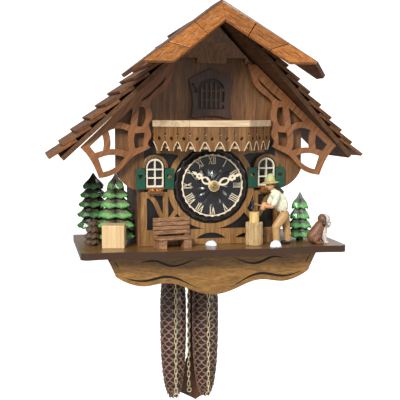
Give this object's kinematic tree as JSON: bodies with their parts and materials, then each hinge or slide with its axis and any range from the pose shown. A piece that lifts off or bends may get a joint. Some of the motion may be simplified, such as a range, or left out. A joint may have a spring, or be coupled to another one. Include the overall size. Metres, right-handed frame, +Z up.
{
  "type": "chalet cuckoo clock",
  "caption": "Chalet cuckoo clock with shingled roof, balcony, cuckoo door, woodchopper scene, pierced apron, leaf pendulum and pine-cone weights on chains",
  "frame": {"origin": "mouth of the hook hole in the back rail, on the plane of the wall", "axes": "+X to the right seen from the front, +Y back into the wall, +Z up"},
  "size_m": [0.3614, 0.212, 0.4778],
  "materials": {
    "case_wood": "dark walnut stain, satin",
    "gable_wood": "brown stain, satin",
    "roof_board_wood": "light brown stain, satin",
    "shingle_wood": "dark brown stained shingles, matt",
    "hood_wood": "dark brown stain, satin",
    "visor_wood": "honey orange lacquer",
    "fretwork_wood": "reddish tan stain, satin",
    "framing_wood": "mid brown stain, satin",
    "stage_wood": "golden brown lacquer",
    "balcony_wood": "pale natural wood, lacquered",
    "window_wood": "painted cream with green shutters",
    "flower_paint": "painted red and yellow",
    "surround_wood": "dark walnut stain, satin",
    "dial_wood": "turned, brown stain",
    "ivory_plastic": "ivory, low sheen",
    "door_wood": "orange brown stain, satin",
    "brass_parts": "polished",
    "steel_wire": "bright drawn",
    "bird_paint": "painted",
    "whistle_wood": "raw beech",
    "pendulum_wood": "brown stain, satin",
    "weight_iron": "brown painted casting",
    "chain_metal": "aged brass wire",
    "tree_paint": "painted green",
    "bench_wood": "brown stain, satin",
    "stump_wood": "stained bark, pale cut face",
    "figure_paint": "hand painted",
    "dog_paint": "painted brown and white",
    "snow_paint": "white paint and pale raw wood"
  },
  "bodies": {
    "case": {"case_side_left": "case_wood", "case_side_right": "case_wood", "facade_panel": "case_wood", "back_rail": "case_wood", "gable_boards": "gable_wood", "roof_board_left": "roof_board_wood", "roof_board_right": "roof_board_wood", "shingles_left": "shingle_wood", "shingles_right": "shingle_wood", "upper_roof": "hood_wood", "visor_board_left": "visor_wood", "visor_board_right": "visor_wood", "fretwork_left": "fretwork_wood", "fretwork_right": "fretwork_wood", "timber_framing": "framing_wood", "base_platform": "stage_wood", "apron_board": "stage_wood", "balcony_frame": "balcony_wood", "balcony_balusters": "balcony_wood", "windows": "window_wood", "flower_boxes": "flower_paint", "dial_surround": "surround_wood", "dial_disc": "dial_wood", "chapter_ring": "ivory_plastic", "cuckoo_door_frame": "door_wood", "movement_plates": "brass_parts", "gong": "steel_wire", "bellows_boxes": "whistle_wood", "trees_left": "tree_paint", "trees_right": "tree_paint", "bench": "bench_wood", "chopping_block": "stump_wood", "woodchopper": "figure_paint", "dog": "dog_paint", "stage_trimmings": "snow_paint"},
    "back_door": {"back_door": "case_wood"},
    "back_door_latch": {"back_door_latch": "case_wood"},
    "going_train": {"centre_wheel": "brass_parts", "minute_hand": "ivory_plastic", "hand_nut": "brass_parts"},
    "hour_hand": {"hour_hand": "ivory_plastic"},
    "escape_wheel": {"escape_wheel": "brass_parts"},
    "anchor": {"anchor": "steel_wire"},
    "pendulum": {"pendulum_rod": "pendulum_wood"},
    "pendulum_leaf": {"pendulum_leaf": "pendulum_wood"},
    "weight_left": {"weight_left": "weight_iron", "chain_left_loaded": "chain_metal"},
    "chain_left_free": {"chain_left_free": "chain_metal"},
    "weight_right": {"weight_right": "weight_iron", "chain_right_loaded": "chain_metal"},
    "chain_right_free": {"chain_right_free": "chain_metal"},
    "chain_wheel_left": {"chain_wheel_left": "brass_parts"},
    "chain_wheel_right": {"chain_wheel_right": "brass_parts"},
    "cuckoo_bird": {"cuckoo_bird": "bird_paint"},
    "cuckoo_door": {"cuckoo_door": "door_wood"},
    "door_latch_wire": {"door_latch_wire": "steel_wire"},
    "gong_hammer": {"gong_hammer": "steel_wire"},
    "bellows_top_left": {"bellows_top_left": "whistle_wood"},
    "bellows_top_right": {"bellows_top_right": "whistle_wood"},
    "chopper_arms": {"chopper_arms": "figure_paint"}
  },
  "joints": [
    {"name": "back_door_hinge", "type": "hinge", "parent": "case", "child": "back_door", "pos_m": [-0.085, -0.0018, -0.125], "axis": [0, 0, 1], "range_deg": [0, 100]},
    {"name": "back_door_turn_button", "type": "hinge", "parent": "case", "child": "back_door_latch", "pos_m": [0, -0.0014, -0.057], "axis": [0, 1, 0], "range_deg": [0, 90]},
    {"name": "minute_hand_arbor", "type": "hinge", "parent": "case", "child": "going_train", "pos_m": [0, -0.105, -0.125], "axis": [0, 1, 0], "continuous": true},
    {"name": "hour_hand_pipe", "type": "hinge", "parent": "case", "child": "hour_hand", "pos_m": [0, -0.105, -0.125], "axis": [0, 1, 0], "continuous": true},
    {"name": "escape_wheel_arbor", "type": "hinge", "parent": "case", "child": "escape_wheel", "pos_m": [0.014, -0.055, -0.101], "axis": [0, 1, 0], "continuous": true},
    {"name": "pendulum_swing", "type": "hinge", "parent": "case", "child": "pendulum", "pos_m": [0, -0.015, -0.0868], "axis": [0, 1, 0], "range_deg": [-5, 5]},
    {"name": "anchor_arbor", "type": "hinge", "parent": "case", "child": "anchor", "pos_m": [0, -0.055, -0.089], "axis": [0, 1, 0], "range_deg": [-5, 5]},
    {"name": "pendulum_leaf_slide", "type": "slide", "parent": "pendulum", "child": "pendulum_leaf", "axis": [0, 0, 1], "range_m": [-0.008, 0.008]},
    {"name": "weight_left_drop", "type": "slide", "parent": "case", "child": "weight_left", "axis": [0, 0, 1], "range_m": [-0.12, 0]},
    {"name": "weight_right_drop", "type": "slide", "parent": "case", "child": "weight_right", "axis": [0, 0, 1], "range_m": [-0.12, 0]},
    {"name": "chain_left_free_run", "type": "slide", "parent": "case", "child": "chain_left_free", "axis": [0, 0, 1], "range_m": [0, 0.12]},
    {"name": "chain_right_free_run", "type": "slide", "parent": "case", "child": "chain_right_free", "axis": [0, 0, 1], "range_m": [0, 0.12]},
    {"name": "chain_wheel_left_arbor", "type": "hinge", "parent": "case", "child": "chain_wheel_left", "pos_m": [-0.0224, -0.04, -0.12], "axis": [0, 1, 0], "range_deg": [-717, 0]},
    {"name": "chain_wheel_right_arbor", "type": "hinge", "parent": "case", "child": "chain_wheel_right", "pos_m": [0.0176, -0.04, -0.12], "axis": [0, 1, 0], "range_deg": [-717, 0]},
    {"name": "cuckoo_slide", "type": "slide", "parent": "case", "child": "cuckoo_bird", "axis": [0, -1, 0], "range_m": [0, 0.035]},
    {"name": "cuckoo_door_hinge", "type": "hinge", "parent": "case", "child": "cuckoo_door", "pos_m": [0.0146, -0.1089, -0.025], "axis": [0, 0, 1], "range_deg": [0, 96]},
    {"name": "door_latch_turn", "type": "hinge", "parent": "case", "child": "door_latch_wire", "pos_m": [-0.0205, -0.1105, -0.0125], "axis": [0, 1, 0], "range_deg": [-52, 0]},
    {"name": "gong_hammer_pivot", "type": "hinge", "parent": "case", "child": "gong_hammer", "pos_m": [-0.02, -0.023, -0.163], "axis": [0, 1, 0], "range_deg": [0, 10]},
    {"name": "bellows_left_hinge", "type": "hinge", "parent": "case", "child": "bellows_top_left", "pos_m": [-0.066, -0.0355, -0.1108], "axis": [-1, 0, 0], "range_deg": [0, 20]},
    {"name": "bellows_right_hinge", "type": "hinge", "parent": "case", "child": "bellows_top_right", "pos_m": [0.066, -0.0355, -0.1108], "axis": [-1, 0, 0], "range_deg": [0, 20]},
    {"name": "chopper_arms_pivot", "type": "hinge", "parent": "case", "child": "chopper_arms", "pos_m": [0.07, -0.1268, -0.1355], "axis": [0, 1, 0], "range_deg": [0, 40]}
  ],
  "couplings": [
    {"joint": "hour_hand_pipe", "follows": "minute_hand_arbor", "ratio": 0.083333},
    {"joint": "anchor_arbor", "follows": "pendulum_swing", "ratio": 1},
    {"joint": "chain_left_free_run", "follows": "weight_left_drop", "ratio": -1},
    {"joint": "chain_wheel_left_arbor", "follows": "weight_left_drop", "rad_per_m": 104.17},
    {"joint": "chain_right_free_run", "follows": "weight_right_drop", "ratio": -1},
    {"joint": "chain_wheel_right_arbor", "follows": "weight_right_drop", "rad_per_m": 104.17},
    {"joint": "cuckoo_door_hinge", "follows": "cuckoo_slide", "rad_per_m": 47.3}
  ]
}
